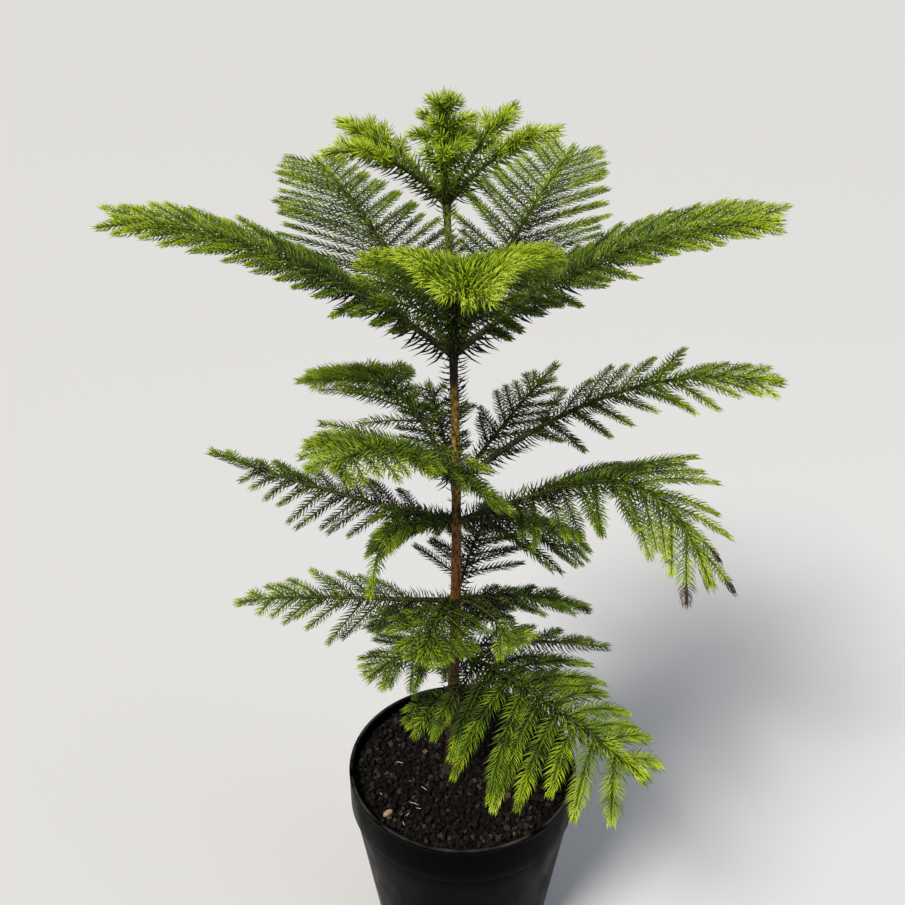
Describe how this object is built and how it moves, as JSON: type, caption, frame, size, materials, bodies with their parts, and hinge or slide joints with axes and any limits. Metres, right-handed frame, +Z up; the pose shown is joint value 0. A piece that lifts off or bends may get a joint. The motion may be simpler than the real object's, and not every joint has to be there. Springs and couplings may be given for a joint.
{
  "type": "norfolk island pine in a pot",
  "caption": "Young Norfolk Island pine with whorls of feathery boughs on one upright trunk, rooted in granules in a round black nursery pot.",
  "frame": {"origin": "centre of the flat underside of the pot", "axes": "+Z up along the trunk, +X to the right and +Y to the back when the long young fronds of the lower right face the viewer"},
  "size_m": [0.5513, 0.4937, 0.9429],
  "materials": {
    "pot": "satin",
    "granules": "matte",
    "bark": "matte",
    "bough": "matte",
    "needles_young": "satin",
    "needles_fresh": "satin",
    "needles_old": "satin"
  },
  "bodies": {
    "root": {"bough_1_back_left": "bough", "bough_1_back_right": "bough", "bough_1_front": "bough", "bough_1_left": "bough", "bough_1_right": "bough", "bough_2_back_left": "bough", "bough_2_back_right": "bough", "bough_2_front": "bough", "bough_2_left": "bough", "bough_2_right": "bough", "bough_3_back": "bough", "bough_3_back_left": "bough", "bough_3_back_right": "bough", "bough_3_front_left": "bough", "bough_3_right": "bough", "bough_4_back_left": "bough", "bough_4_back_right": "bough", "bough_4_front_left": "bough", "bough_4_front_right": "bough", "bough_4_left": "bough", "bough_5_left": "bough", "bough_5_right": "bough", "bough_6_front_right": "bough", "foliage_1_back_left": "needles_young", "foliage_1_back_right": "needles_young", "foliage_1_front": "needles_young", "foliage_1_left": "needles_young", "foliage_1_right": "needles_young", "foliage_2_back_left": "needles_fresh", "foliage_2_back_right": "needles_fresh", "foliage_2_front": "needles_young", "foliage_2_left": "needles_fresh", "foliage_2_right": "needles_fresh", "foliage_3_back": "needles_old", "foliage_3_back_left": "needles_fresh", "foliage_3_back_right": "needles_old", "foliage_3_front_left": "needles_young", "foliage_3_right": "needles_fresh", "foliage_4_back_left": "needles_old", "foliage_4_back_right": "needles_old", "foliage_4_front_left": "needles_fresh", "foliage_4_front_right": "needles_fresh", "foliage_4_left": "needles_old", "foliage_5_back": "needles_old", "foliage_5_front_left": "needles_fresh", "foliage_5_front_right": "needles_fresh", "foliage_5_left": "needles_fresh", "foliage_5_right": "needles_old", "foliage_6_back_left": "needles_old", "foliage_6_back_right": "needles_old", "foliage_6_front_right": "needles_young", "foliage_6_left": "needles_fresh", "foliage_6_right": "needles_old", "foliage_7_back": "needles_old", "foliage_7_front_left": "needles_fresh", "foliage_7_right": "needles_old", "foliage_leader": "needles_young", "pot": "pot", "soil": "granules", "trunk": "bark"}
  },
  "joints": []
}
